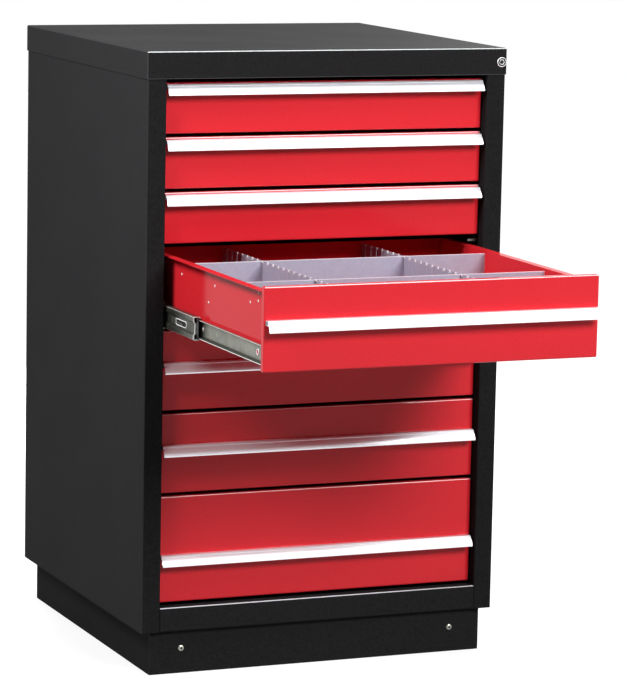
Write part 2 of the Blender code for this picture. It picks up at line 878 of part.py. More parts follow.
def lock_body_shape():
    """Bezel outside the skirt and barrel through it, turned around Y."""
    shape = bmesh.new()
    bezel = lock_bezel_diameter / 2
    barrel = lock_barrel_diameter / 2
    face = cover_front_y - fit_gap
    edge = face - lock_bezel_height
    chamfer = lock_bezel_height / 3
    profile = (
        (0, edge),
        (bezel - chamfer, edge),
        (bezel, edge + chamfer),
        (bezel, face),
        (barrel, face),
        (barrel, cam_rear_y - cam_thickness - fit_gap),
        (0, cam_rear_y - cam_thickness - fit_gap),
    )
    points = [shape.verts.new((x, y, 0)) for x, y in profile]
    edges = [shape.edges.new(pair) for pair in zip(points, points[1:])]
    bmesh.ops.spin(
        shape, geom=points + edges, cent=(0, 0, 0), axis=(0, 1, 0), angle=2 * pi, steps=24
    )
    bmesh.ops.remove_doubles(shape, verts=shape.verts, dist=fit_gap / 10)
    bmesh.ops.recalc_face_normals(shape, faces=shape.faces)
    return shape


def make_plug(pivot, look):
    """Key plug with a slot in its face, and a cam plate with a pin at its rear."""
    front = -lock_bezel_height - fit_gap + lock_plug_recess
    cam_back = cam_rear_y - cover_front_y
    cam_middle = cam_back - cam_thickness / 2
    shape = cylinder(lock_plug_diameter / 2, front, cam_middle, (0, 0), 24)
    plug = add_object("lock_plug", shape, look, pivot)
    low = (-key_slot_width / 2, front - overrun, -key_slot_height / 2)
    high = (key_slot_width / 2, front + key_slot_depth, key_slot_height / 2)
    cut(plug, add_helper("key_slot", block(low, high), pivot))
    arm = [
        (cam_half_width, -cam_half_width),
        (cam_half_width, cam_half_width),
        (-cam_throw, cam_half_width),
    ]
    arm += [(-cam_throw - cam_half_width, 0), (-cam_throw, -cam_half_width)]
    cam = extrude(arm, cam_back - cam_thickness, cam_back, "Y")
    unite(plug, add_helper("lock_cam", cam, pivot))
    end = cam_back + cam_pin_length
    pin = cylinder(cam_pin_diameter / 2, cam_middle, end, (-cam_throw, 0), 12)
    unite(plug, add_helper("cam_pin", pin, pivot))
    return plug


def make_bar(look, tab_heights):
    """Flat bar in front of the right front post: a slotted head for the cam's pin, and a tab over
    each drawer's catch, which the bar lowers in front of it."""
    pin = cam_pin_diameter / 2 + bar_slot_gap
    slot_left = lock_x - cam_throw - pin
    slot_right = lock_x + pin
    left = slot_left - bar_slot_wall
    right = left + bar_width
    head_right = body_half_width - housing_sheet - bar_head_side_gap
    tab_left = box_half_width + tab_reach
    slot_low = lock_z - pin - cam_throw * cam_lag_share
    slot_high = lock_z + pin
    head_low = slot_low - bar_head_margin
    head_high = slot_high + bar_head_margin
    outline = [(right, min(tab_heights)), (right, head_low)]
    outline += [(head_right, head_low), (head_right, head_high), (left, head_high)]
    for height in sorted(tab_heights, reverse=True):
        outline += [(left, height + tab_height), (tab_left, height + tab_height)]
        outline += [(tab_left, height), (left, height)]
    bar = add_object("lock_bar", extrude(outline, bar_front_y, bar_rear_y, "Y"), look)
    low = (slot_left, bar_front_y - overrun, slot_low)
    high = (slot_right, bar_rear_y + overrun, slot_high)
    cut(bar, add_helper("bar_slot", block(low, high)))
    return bar


def make_looks():
    return {
        "black": finish("black_powder_coat", (0.016, 0.015, 0.016), 0, 0.42),
        "red": finish("red_powder_coat", (0.62, 0.022, 0.035), 0, 0.34),
        "aluminium": finish("satin_aluminium", (0.82, 0.82, 0.84), 1, 0.3),
        "zinc": finish("zinc_plated_steel", (0.50, 0.51, 0.47), 1, 0.36),
        "galvanised": finish("galvanised_steel", (0.47, 0.44, 0.50), 0.6, 0.45),
        "chrome": finish("chrome", (0.8, 0.8, 0.8), 1, 0.12),
        "plastic": finish("black_plastic", (0.012, 0.012, 0.012), 0, 0.4),
    }


def front_places():
    """The bottom of each front, numbered from the top drawer down."""
    places = []
    bottom = lowest_front_z
    for height in reversed(front_heights):
        places.append(bottom)
        bottom += height + front_gap
    return places[::-1]


def make_slides(number, label, side, slide_z, opened, looks, meshes):
    """A slide's intermediate member, and for the open drawer also its other members and its cage."""
    middle_y = slide_front_y - (drawer_open * middle_open_share if opened else 0)
    holder = add_empty(f"slide_{number}_{label}_axis", (0, middle_y, slide_z))
    mesh = meshes[label, opened]
    middle = bpy.data.objects.new(f"slide_{number}_middle_{label}", mesh)
    bpy.context.scene.collection.objects.link(middle)
    middle.parent = holder
    if not mesh.materials:
        mesh.materials.append(looks["zinc"])
    if not opened:
        return
    web = fit_gap + slide_sheet / 2
    shape = extrude(cabinet_member(side, web), 0, slide_length, "Y")
    place = (0, slide_front_y, slide_z)
    outer = add_object(f"slide_{number}_outer_{label}", shape, looks["zinc"], None, place)
    balls = cabinet_member_balls(f"slide_{number}_outer_balls_{label}", side, place)
    unite(outer, balls)
    cage_holder = add_empty(f"slide_{number}_cage_{label}_axis", (0, middle_y, slide_z))
    make_cage(f"slide_{number}_cage_{label}", side, cage_holder, looks["plastic"])


def cut_member_holes(member, side, web):
    """The front slot and the hole for the screws that hold a member to the drawer's side."""
    length = drawer_member_slot_length
    y = box_side_y + drawer_member_slot_place
    slot = slot_cutter(side, web, y, length, drawer_member_slot_height)
    cut(member, add_helper(member.name + "_slot", slot, member))
    size = drawer_member_hole_diameter
    y = box_side_y + drawer_member_hole_place
    hole = slot_cutter(side, web, y, size, size)
    cut(member, add_helper(member.name + "_hole", hole, member))


def make_drawer(number, bottom, height, looks, meshes):
    """One drawer with its box, front and pull, and the moving members of its slides."""
    opened = number == 4
    y = front_face_y - (drawer_open if opened else 0)
    holder = add_empty(f"drawer_{number}_axis", (0, y, bottom))
    make_drawer_box(f"drawer_{number}_box", height, holder, looks["red"], not opened)
    make_front(f"drawer_{number}_front", height, holder, looks["red"])
    make_pull(f"drawer_{number}_pull", holder, looks["aluminium"])
    slide_z = bottom + slide_centre_height
    for side, label in ((-1, "left"), (1, "right")):
        make_slides(number, label, side, slide_z, opened, looks, meshes)
        if opened:
            web = slide_thickness - fit_gap - slide_sheet / 2
            shape = extrude(drawer_member(side, web), box_side_y, box_side_y + slide_length, "Y")
            name = f"slide_{number}_inner_{label}"
            place = (0, 0, slide_centre_height)
            member = add_object(name, shape, looks["zinc"], holder, place)
            cut_member_holes(member, side, web)
    if opened:
        box_height = height - 2 * box_margin
        for label, x in zip(("left", "right"), partition_places()):
            make_partition("partition_" + label, x, box_height, holder, looks["galvanised"])
        for name, slot in (("divider_front", front_divider_slot), ("divider_rear", rear_divider_slot)):
            make_divider(name, slot, box_height, holder, looks["galvanised"])


def build():
    clear_scene()
    looks = make_looks()
    make_side_panel("left_side_panel", -1, looks["black"])
    right_panel = make_side_panel("right_side_panel", 1, looks["black"])
    make_back_panel(looks["black"])
    make_floor(looks["black"])
    make_front_rail(looks["black"])
    cover = make_cover(looks["black"])
    frame = make_plinth_frame(looks["black"])
    panel = make_plinth_cover(looks["black"])
    make_plinth_screws(frame, panel, looks["zinc"])
    places = front_places()
    places[3] -= open_drawer_drop
    meshes = {}
    for side, label in ((-1, "left"), (1, "right")):
        for opened in (False, True):
            meshes[label, opened] = make_middle_mesh(side, label, opened)
    for index, (bottom, height) in enumerate(zip(places, front_heights)):
        make_drawer(index + 1, bottom, height, looks, meshes)
    closed = [(index + 1, bottom + slide_centre_height) for index, bottom in enumerate(places)]
    closed.remove(closed[3])
    for side, label in ((-1, "left"), (1, "right")):
        make_rack(side, label, closed, looks["black"])
    tab_lift = catch_height + tab_clearance - box_margin
    tab_heights = [bottom + height + tab_lift for bottom, height in zip(places, front_heights)]
    make_lock(cover, right_panel, looks, tab_heights)


build()
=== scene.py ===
"""Looks of the industrial drawer cabinet: powder-coated housing, red drawers, steel slides."""

from collections import namedtuple
from math import radians

import bpy
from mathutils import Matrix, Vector


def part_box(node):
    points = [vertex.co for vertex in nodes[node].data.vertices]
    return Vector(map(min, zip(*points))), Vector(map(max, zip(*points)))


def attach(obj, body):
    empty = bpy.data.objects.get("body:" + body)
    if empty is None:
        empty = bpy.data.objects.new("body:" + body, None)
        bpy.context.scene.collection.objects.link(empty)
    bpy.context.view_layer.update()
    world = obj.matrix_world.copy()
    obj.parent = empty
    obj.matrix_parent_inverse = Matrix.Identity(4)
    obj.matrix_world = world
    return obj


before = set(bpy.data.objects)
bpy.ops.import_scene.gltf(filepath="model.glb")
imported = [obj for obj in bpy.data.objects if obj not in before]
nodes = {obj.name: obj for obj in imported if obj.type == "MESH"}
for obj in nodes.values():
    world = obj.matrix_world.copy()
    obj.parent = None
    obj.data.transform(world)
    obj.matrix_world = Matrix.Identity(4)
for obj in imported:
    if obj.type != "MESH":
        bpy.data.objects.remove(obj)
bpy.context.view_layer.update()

# All lengths are in metres.

# Grain that is too fine to show in the render, so it is drawn as coarse as it needs to show: real
# orange peel is 1 to 2 mm across, rolling and die lines are about 0.1 mm, and turning lines and
# the grain of a moulding are finer still.
black_peel = 0.0040
red_peel = 0.0036
rolling_line = 0.0014
die_line = 0.0011
moulded_grain = 0.0008
turning_line = 0.0006

# Grain at its real size
spangle = 0.005
plating_cloud = 0.03
paint_cloud = 0.16
floor_cloud = 1.5

# How deep the grain goes, and how far lines are drawn out in X, Y and Z
black_peel_depth = 0.00006
line_depth = 0.00002
fine_depth = 0.00001
along_slide = (1, 60, 1)
along_pull = (120, 1, 1)

# Most values of a noise lie between these
noise_low, noise_high = 0.3, 0.7

# Sockets of a Mix node
factor, number_a, number_b, colour_a, colour_b = 0, 2, 3, 6, 7
number_out, colour_out = 0, 2

# Tones that several nodes share: zinc, and the painted highlights along side and lower edges
zinc_tones = ("#8B8C82", "#A0A096")
side_highlight = "#343536"
under_highlight = "#343537"

# Paint on the housing: its roughness, its gloss, and a painted sheen: a paler tone added to its
# outer side faces
housing_smooth = 0.58
sheet_gloss = 0.025
panel_gloss = 0.008
side_sheen = {"left_side_panel": "#202021", "right_side_panel": "#202021", "top_cover": "#161617"}
sheen_edge = 0.0003

# Width of the painted highlights along folds and edges, and where steel shows on a painted node
highlight_width = 0.0022
steel_edge = 0.0001
post_x = 0.3175
wall_x = 0.2985

# Drawers, and where the open one's slide members get a painted shade line or painted highlights:
# the two distances from an edge between which the tone comes in
drawers = range(1, 8)
open_drawer = 4
low_lip = (0.0045, 0.0035)
turned_lip = (0.0005, 0.0003)
bend_across = (0.0022, 0.0015)
bend_upwards = (0.0022, 0.0012)

# A face looks along an axis when its normal's part along it is above this
squarely = 0.9

# Slots in the partitions, and the lips beside them
slot_start = 0.0076
slot_pitch = 0.0254
slot_half_width = 0.0011
slot_count = 24
lip_length = 0.0046
lip_height = 0.0042
lip_flare = 0.0020
lip_sheet = 0.0022
lip_taper = (0.6, 0.8, 1)
lip_offset = 0.0002
lip_drop = 0.0001
lip_rounding = 0.0002

# Rivets: each spot on a drawer's wall with its distance behind the front, and under the top line
# of rivets. The crown is a share of a head's height.
rivet_sides = 16
rivet_crown = 0.8
rivet_radius = 0.0023
rivet_height = 0.0007
wall_rivet_drop = 0.0126
wall_rivet_spots = (
    (0.4542, 0.0262),
    (0.2862, 0.0253),
    (0.1142, 0.0298),
    (0.0772, 0.0228),
    (0.0532, 0.0258),
    (0.0752, 0.0078),
)
tall_front = 0.12
tall_front_spot = (0.3162, 0.0587)
back_rivet_radius = 0.0036
back_rivet_height = 0.0009
back_rivet_inset = 0.0085
back_rivet_rows = 8
floor_rivet_shares = (-2, -1, 0, 1, 2)

# Balls in the open drawer's cages
cage_lead = 0.014
cage_ball_pitch = 0.060
cage_ball_count = 4
ball_radius = 0.00195
ball_row_height = 0.01795
ball_row_x = 0.3049
ball_cuts = 4

# Cut ends of the open drawer's members
same_point = 0.00001
sheared_edge = 0.0012
sheared_burr = 0.0005

# Pressed window of the middle member, its tongue, and the stop plate behind it
window_length = 0.054
window_height = 0.0125
window_rim = 0.0016
window_behind = 0.041
window_depth = 0.0026
rim_sheet = 0.0012
rim_corner = 0.004
pocket_sheet = 0.0004
pocket_depth = 0.0003
pocket_corner = 0.003
plate_behind = 0.108
plate_length = 0.024
plate_sheet = 0.0006
plate_depth = 0.0002
plate_rounding = 0.0002
tongue_size = (0.0006, 0.02484, 0.00425)
tongue_offset = (-0.0002, 0.00864, -0.0010)
tongue_lift = (-0.0006, -0.004, 0)
tongue_rounding = 0.0001

# Holes and screws of the drawer member: each hole with its distance behind the front, and its
# radius
web_x = -0.3000
front_hole = (0.0556, 0.0052)
rear_hole = (0.3225, 0.0030)
burr_share = 0.22
hole_wall_height = 0.0002
member_screw = 0.2530
member_screw_radius = 0.0042
member_screw_height = 0.0004

# Rings of the lock, each with its radius and thickness. The crown is a share of the thickness.
bezel_rim = (0.0085, 0.0007)
plug_gap = (0.0068, 0.0012)
plug_edge = (0.0046, 0.0006)
bezel_set_back = 0.0005
ring_sides = 32
ring_crown = 0.8

# Driver's recess in a plinth screw, filled with a black disc as painted shade
recess_sides = 6
recess_radius = 0.0023
recess_depth = 0.0006
recess_set_back = 0.0012
recess_rounding = 0.0001

# Studio: the faint light from all round, and how bright the floor looks near the cabinet and far
# from it
fill_light = 0.03
floor_size = 24
floor_near, floor_far = 0.8, 3.5
floor_near_level, floor_far_level = 0.79, 1.0

Finish = namedtuple("Finish", "material tree shader place")


def linear(colour):
    """An sRGB hex colour as the linear values that the shaders take."""
    parts = [int(colour[start : start + 2], 16) / 255 for start in (1, 3, 5)]
    return [part / 12.92 if part <= 0.04045 else ((part + 0.055) / 1.055) ** 2.4 for part in parts]


def add_node(tree, kind, values=None, links=None, **settings):
    """Adds a node with its settings, its sockets' values and its links."""
    node = tree.nodes.new(kind)
    for name, value in settings.items():
        setattr(node, name, value)
    for socket, value in (values or {}).items():
        node.inputs[socket].default_value = value
    for socket, source in (links or {}).items():
        tree.links.new(source, node.inputs[socket])
    return node


def start_finish(name, **values):
    """A new material with its shader's constant values, and the piece's own coordinates."""
    material = bpy.data.materials.new(name)
    material.use_nodes = True
    tree = material.node_tree
    shader = tree.nodes["Principled BSDF"]
    for socket, value in values.items():
        shader.inputs[socket.replace("_", " ")].default_value = value
    place = add_node(tree, "ShaderNodeTexCoord").outputs["Object"]
    return Finish(material, tree, shader, place)


def join_up(finish, **sources):
    """Links sources to the shader's sockets, whose names have _ for each space here."""
    for socket, source in sources.items():
        finish.tree.links.new(source, finish.shader.inputs[socket.replace("_", " ")])


def grain(finish, size, stretch=None):
    """Uneven grain of a given size, from 0 to 1. Stretch draws it out to lines along an axis."""
    place = finish.place
    values = {"Scale": 1 / size, "Detail": 2.0, "Roughness": 0.55}
    if stretch:
        scale = [1 / times for times in stretch]
        mapped = add_node(finish.tree, "ShaderNodeMapping", {"Scale": scale}, {"Vector": place})
        place = mapped.outputs["Vector"]
        values = {"Scale": 1 / size, "Detail": 3.0, "Roughness": 0.6}
    return add_node(finish.tree, "ShaderNodeTexNoise", values, {"Vector": place}).outputs["Fac"]


def set_tones(ramp, dark, light):
    """Spreads two hex tones over most values of a noise, and returns the colour."""
    first, last = ramp.color_ramp.elements
    first.position, last.position = noise_low, noise_high
    first.color = (*linear(dark), 1)
    last.color = (*linear(light), 1)
    return ramp.outputs["Color"]


def vary(finish, tones, gloss=None, height=None):
    """Lets grains drive a finish: its colour between two tones, its roughness between two values,
    and its relief down to a depth."""
    amount, dark, light = tones
    ramp = add_node(finish.tree, "ShaderNodeValToRGB", {}, {"Fac": amount})
    join_up(finish, Base_Color=set_tones(ramp, dark, light))
    if gloss:
        amount, smooth, rough = gloss
        values = {"From Min": noise_low, "From Max": noise_high, "To Min": smooth, "To Max": rough}
        level = add_node(finish.tree, "ShaderNodeMapRange", values, {"Value": amount})
        join_up(finish, Roughness=level.outputs["Result"])
    if height:
        amount, depth = height
        bump = add_node(finish.tree, "ShaderNodeBump", {"Distance": depth}, {"Height": amount})
        join_up(finish, Normal=bump.outputs["Normal"])


def where(finish, tests):
    """Goes from 0 to 1 between each test's two places on an axis, with x without its sign."""
    tree = finish.tree
    split = add_node(tree, "ShaderNodeSeparateXYZ", {}, {"Vector": finish.place})
    across = add_node(tree, "ShaderNodeMath", {}, {0: split.outputs["X"]}, operation="ABSOLUTE")
    coordinates = {"x": across.outputs[0], "y": split.outputs["Y"], "z": split.outputs["Z"]}
    mask = None
    for axis, outside, inside in tests:
        values = {"From Min": outside, "From Max": inside}
        links = {"Value": coordinates[axis]}
        ramp = add_node(tree, "ShaderNodeMapRange", values, links, interpolation_type="SMOOTHSTEP")
        test = ramp.outputs["Result"]
        if mask is None:
            mask = test
        else:
            both = add_node(tree, "ShaderNodeMath", {}, {0: mask, 1: test}, operation="MULTIPLY")
            mask = both.outputs[0]
    return mask


def tint(finish, tests, tone, mode="MIX"):
    """Lays a tone over the colour where the tests say, or adds it to the colour."""
    mixed = add_node(
        finish.tree,
        "ShaderNodeMix",
        {colour_b: (*linear(tone), 1)},
        {
            factor: where(finish, tests),
            colour_a: finish.shader.inputs["Base Color"].links[0].from_socket,
        },
        data_type="RGBA",
        blend_type=mode,
    )
    join_up(finish, Base_Color=mixed.outputs[colour_out])


def painted_light_lines(finish, painted_lines):
    """Painted highlights and painted shade lines: a tone laid over the colour along folds, bends
    and edges.
    """
    for tests, tone in painted_lines:
        tint(finish, tests, tone)
    return finish


def powder_coat(name, tones, gloss, peel, depth, specular):
    """Baked powder coat: a fine orange peel mottles its colour a little and breaks up its gloss."""
    finish = start_finish(name, Specular_IOR_Level=specular)
    cloud = grain(finish, paint_cloud)
    peeled = grain(finish, peel)
    vary(finish, (peeled, *tones), (cloud, *gloss), (peeled, depth))
    return finish


def black_powder_coat(name, smooth=0.44, specular=sheet_gloss):
    """Satin black: it looks charcoal where it faces the light, with a dull sheen and no mirror."""
    tones = ("#1B1B1C", "#232324")
    gloss = (smooth, smooth + 0.05)
    return powder_coat(name, tones, gloss, black_peel, black_peel_depth, specular)


def red_powder_coat(name, specular):
    """Semi-gloss red: it holds a soft mirror image where it is seen from the side."""
    return powder_coat(name, ("#D3242E", "#D92933"), (0.1, 0.16), red_peel, fine_depth, specular)


def steel_on_paint(finish, tests):
    """Shows zinc-plated steel on a painted node, where the slide members are fixed to it."""
    tree = finish.tree
    mask = where(finish, tests)
    rolled = grain(finish, rolling_line, along_slide)
    ramp = add_node(tree, "ShaderNodeValToRGB", {}, {"Fac": rolled})
    paint = finish.shader.inputs["Base Color"].links[0].from_socket
    links = {factor: mask, colour_a: paint, colour_b: set_tones(ramp, *zinc_tones)}
    mixed = add_node(tree, "ShaderNodeMix", {}, links, data_type="RGBA")
    gloss = finish.shader.inputs["Roughness"].links[0].from_socket
    dull = add_node(tree, "ShaderNodeMix", {number_b: 0.34}, {factor: mask, number_a: gloss})
    join_up(
        finish,
        Base_Color=mixed.outputs[colour_out],
        Metallic=mask,
        Roughness=dull.outputs[number_out],
    )


def zinc_plated_steel(name, tones, painted_lines=(), smooth=0.27):
    """Cold-rolled strip with bright zinc: grey, a little warm, with drawn-out rolling lines."""
    finish = start_finish(name, Metallic=0.85)
    rolled = grain(finish, rolling_line, along_slide)
    cloud = grain(finish, plating_cloud)
    vary(finish, (cloud, *tones), (rolled, smooth, smooth + 0.13), (rolled, line_depth))
    return painted_light_lines(finish, painted_lines)


def satin_aluminium():
    """Extruded and satin-anodised: nearly white, with fine die lines along its length."""
    finish = start_finish("satin_anodised_aluminium", Metallic=0.7)
    drawn = grain(finish, die_line, along_pull)
    vary(finish, (drawn, "#E6E6EC", "#F2F2F6"), (drawn, 0.3, 0.4), (drawn, line_depth))
    return finish


def sheared_steel_and_glint():
    """Freshly cut edges and other small bare-metal pieces, drawn near white so that they show as
    glints: partly bright steel, partly painted highlight.
    """
    finish = start_finish("sheared_edge_and_painted_glint", Metallic=0.05)
    torn = grain(finish, turning_line)
    vary(finish, (torn, "#F2F2F2", "#FFFFFF"), (torn, 0.25, 0.4))
    return finish


def galvanised_sheet(name, painted_lines=()):
    """Hot-dip galvanised sheet: pale grey-lilac, with flat crystals of slightly different tone."""
    finish = start_finish(name, Metallic=0.35)
    values, links = {"Scale": 1 / spangle}, {"Vector": finish.place}
    crystals = add_node(finish.tree, "ShaderNodeTexVoronoi", values, links)
    grey = add_node(finish.tree, "ShaderNodeRGBToBW", {}, {"Color": crystals.outputs["Color"]})
    tone = grey.outputs["Val"]
    relief = grain(finish, rolling_line)
    vary(finish, (tone, "#A5A4B7", "#A9A8BA"), (tone, 0.42, 0.46), (relief, fine_depth))
    return painted_light_lines(finish, painted_lines)


def bright_chrome(name, dark, light):
    """Plating over turned brass: a near mirror with faint turning lines."""
    finish = start_finish(name, Metallic=1.0)
    turned = grain(finish, turning_line)
    vary(finish, (turned, dark, light), (turned, 0.08, 0.14))
    return finish


def black_plastic():
    """Injection-moulded acetal: deep black with a soft sheen and a finely eroded grain. It also
    serves as painted shade in the window's pocket, the lock's gap and the screw recesses.
    """
    finish = start_finish("moulded_black_acetal", Specular_IOR_Level=0.4)
    eroded = grain(finish, moulded_grain)
    vary(finish, (eroded, "#0B0B0B", "#121212"), (eroded, 0.32, 0.42), (eroded, fine_depth))
    return finish


def seen_directly(tree):
    """1 for what the camera sees, by itself, in metal or through glass."""
    path = add_node(tree, "ShaderNodeLightPath")
    seen = path.outputs["Is Camera Ray"]
    for ray in ("Is Glossy Ray", "Is Transmission Ray"):
        links = {0: seen, 1: path.outputs[ray]}
        seen = add_node(tree, "ShaderNodeMath", {}, links, operation="MAXIMUM").outputs[0]
    return seen


def studio_floor():
    """Matt white sweep: the camera and the metals see it white, and it keeps the shadow."""
    finish = start_finish("white_studio_sweep", Roughness=0.9, Emission_Color=(1, 1, 1, 1))
    vary(finish, (grain(finish, floor_cloud), "#7E7E7F", "#828283"))
    tree = finish.tree
    away = add_node(tree, "ShaderNodeVectorMath", {}, {0: finish.place}, operation="LENGTH")
    values = {"From Min": floor_near, "From Max": floor_far}
    values |= {"To Min": floor_near_level, "To Max": floor_far_level}
    level = add_node(tree, "ShaderNodeMapRange", values, {"Value": away.outputs["Value"]})
    links = {0: seen_directly(tree), 1: level.outputs["Result"]}
    glow = add_node(tree, "ShaderNodeMath", {}, links, operation="MULTIPLY")
    join_up(finish, Emission_Strength=glow.outputs[0])
    return finish


def white_world():
    """White behind the object, and an even faint light on it."""
    world = bpy.data.worlds.new("studio_world")
    bpy.context.scene.world = world
    world.use_nodes = True
    tree = world.node_tree
    background = tree.nodes["Background"]
    background.inputs["Color"].default_value = (1, 1, 1, 1)
    values = {"To Min": fill_light, "To Max": 1.0}
    amount = add_node(tree, "ShaderNodeMapRange", values, {"Value": seen_directly(tree)})
    tree.links.new(amount.outputs["Result"], background.inputs["Strength"])


def add_lamp(name, place, aim, size, power):
    """A soft box at a place, turned to a point."""
    lamp = bpy.data.lights.new(name, "AREA")
    lamp.shape = "RECTANGLE"
    lamp.size, lamp.size_y = size
    lamp.energy = power
    holder = bpy.data.objects.new(name, lamp)
    bpy.context.scene.collection.objects.link(holder)
    holder.location = place
    holder.rotation_euler = (Vector(aim) - Vector(place)).to_track_quat("-Z", "Y").to_euler()


def make_lights():
    """A key light in front, and weaker ones at the sides and behind."""
    white_world()
    add_lamp("key_soft_box", (1.3, -4.1, 3.3), (0, -0.3, 0.7), size=(2.2, 1.7), power=255)
    add_lamp("left_soft_box", (-1.9, -0.6, 2.45), (-0.3, -0.3, 1.1), size=(1.1, 0.9), power=70)
    add_lamp("right_soft_box", (2.5, 2.2, 2.2), (0.3, 0.2, 0.9), size=(1.2, 1.0), power=120)
    add_lamp("rear_soft_box", (0.4, 3.4, 0.62), (0, 0.6, 0.6), size=(1.3, 0.8), power=110)


def make_camera():
    """The photograph's view: from the front left, a little above, with a long lens."""
    lens = bpy.data.cameras.new("camera")
    lens.sensor_fit = "VERTICAL"
    lens.sensor_height = 36
    lens.lens = 181.84
    lens.clip_end = 100
    camera = bpy.data.objects.new("camera", lens)
    bpy.context.scene.collection.objects.link(camera)
    camera.location = (-2.5330, -6.1015, 1.6303)
    camera.rotation_euler = (radians(81.01), radians(-1.13), radians(-22.51))
    bpy.context.scene.camera = camera


def make_floor():
    """The studio's floor, which isn't part of the object."""
    bpy.ops.object.select_all(action="DESELECT")
    bpy.ops.mesh.primitive_plane_add(size=floor_size)
    floor = bpy.context.object
    floor.name = "studio_floor"
    floor.data.materials.append(studio_floor().material)


def dress(names, finish):
    """Gives CAD nodes their finish."""
    for name in names:
        nodes[name].material_slots[0].material = finish.material


def outer_side(name):
    """How far a node reaches to its side."""
    low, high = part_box(name)
    return max(high.x, -low.x)


def housing_highlights(name):
    """Painted highlights on a housing node: along its front edges, and the cover's upper ones."""
    low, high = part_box(name)
    side = outer_side(name)
    near_front = ("y", low.y + highlight_width, low.y + highlight_width / 2)
    near_top = ("z", high.z - highlight_width, high.z - highlight_width / 2)
    near_bottom = ("z", low.z + highlight_width / 2, low.z)
    near_side = ("x", side - highlight_width, side - highlight_width / 2)
    if name == "top_cover":
        return [
            ([near_bottom], under_highlight),
            ([near_side, near_top], "#3E3F41"),
            ([near_side, near_front], "#3E3F41"),
            ([near_front, near_bottom], "#57585A"),
            ([near_front, near_top], "#E6EAEC"),
        ]
    if name == "front_rail":
        return [([near_front, near_top], "#D6D8DE")]
    if name == "back_panel":
        return [([near_side], under_highlight)]
    return [([near_side, near_front], side_highlight)]


def front_highlights(name):
    """Painted highlights on a drawer front, where the pan is folded back at its top and bottom;
    none along drawer 1's top, which lies in the cover's shade.
    """
    low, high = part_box(name)
    width = highlight_width * 0.6
    near_front = ("y", low.y + width, low.y + width / 2)
    painted_lines = [([near_front, ("z", low.z + width, low.z)], "#E04450")]
    if name != "drawer_1_front":
        painted_lines.append(([near_front, ("z", high.z - highlight_width, high.z - width)], "#FAD2D6"))
    return painted_lines


def divider_highlights(name):
    """Painted highlights on a cross divider's cut edges, along its top and at its two ends."""
    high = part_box(name)[1]
    width = highlight_width * 0.7
    tests = (("z", high.z - width, high.z - width / 2), ("x", high.x - width, high.x - width / 2))
    return [([test], "#E2E0EA") for test in tests]


def dress_housing():
    """Folded sheets with a painted sheen on their sides and painted highlights over their folds,
    and the racks.
    """
    for name in ("left_side_panel", "right_side_panel", "front_rail", "top_cover", "back_panel"):
        gloss = panel_gloss if name.endswith("side_panel") else sheet_gloss
        finish = black_powder_coat(f"black_powder_coat_{name}", housing_smooth, gloss)
        # Painted sheen: a paler tone added to the outer side faces
        if name in side_sheen:
            side = outer_side(name)
            on_side = [("x", side - 2 * sheen_edge, side - sheen_edge)]
            tint(finish, on_side, side_sheen[name], "ADD")
        dress([name], painted_light_lines(finish, housing_highlights(name)))
    rack = black_powder_coat("black_powder_coat_and_zinc")
    steel_on_paint(rack, [("x", post_x, post_x - steel_edge)])
    dress(["slide_rack_left", "slide_rack_right"], rack)


def dress_drawers():
    """Red fronts and boxes, and bright pulls. A shut drawer's slide members are in its box node."""
    for number in drawers:
        name = f"drawer_{number}_front"
        front = red_powder_coat(f"red_powder_coat_{number}", 0.14)
        dress([name], painted_light_lines(front, front_highlights(name)))
        box = red_powder_coat(f"red_powder_coat_box_{number}", 0.05)
        if number != open_drawer:
            low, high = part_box(f"slide_{number}_middle_left")
            on_wall = [
                ("x", wall_x, wall_x + 2 * steel_edge),
                ("z", low.z - steel_edge, low.z),
                ("z", high.z + steel_edge, high.z),
            ]
            steel_on_paint(box, on_wall)
        dress([f"drawer_{number}_box"], box)
    dress([f"drawer_{number}_pull" for number in drawers], satin_aluminium())


def dress_slides(side, zinc):
    """The slides of one side: the open drawer's members get painted highlights where they are bent,
    and the drawer member a painted shade line along its lower edge.
    """
    shut = [f"slide_{number}_middle_{side}" for number in drawers if number != open_drawer]
    dress([*shut, f"slide_4_outer_{side}", f"plinth_screw_{side}"], zinc)
    inner = f"slide_4_inner_{side}"
    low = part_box(inner)[0]
    edge = outer_side(inner)
    # Painted shade along the drawer member's lower lip, and a painted highlight on its turned lip
    lips = [
        ([("z", *(low.z + reach for reach in low_lip))], "#4C4D46"),
        ([("x", *(edge - reach for reach in turned_lip))], "#F4F4F0"),
    ]
    tones = ("#7F8077", "#94948A")
    dress([inner], zinc_plated_steel(f"zinc_drawer_member_{side}", tones, lips, 0.42))
    middle = f"slide_4_middle_{side}"
    low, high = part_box(middle)
    edge = outer_side(middle)
    at_bend = ("x", *(edge - reach for reach in bend_across))
    # Painted highlights on the middle member's bends
    lips = [
        ([at_bend, ("z", *(high.z - reach for reach in bend_upwards))], "#FAFAF6"),
        ([at_bend, ("z", *(low.z + reach for reach in bend_upwards))], "#E6E6E0"),
    ]
    tones = ("#5C5D56", "#70716A")
    dress([middle], zinc_plated_steel(f"zinc_middle_member_{side}", tones, lips))


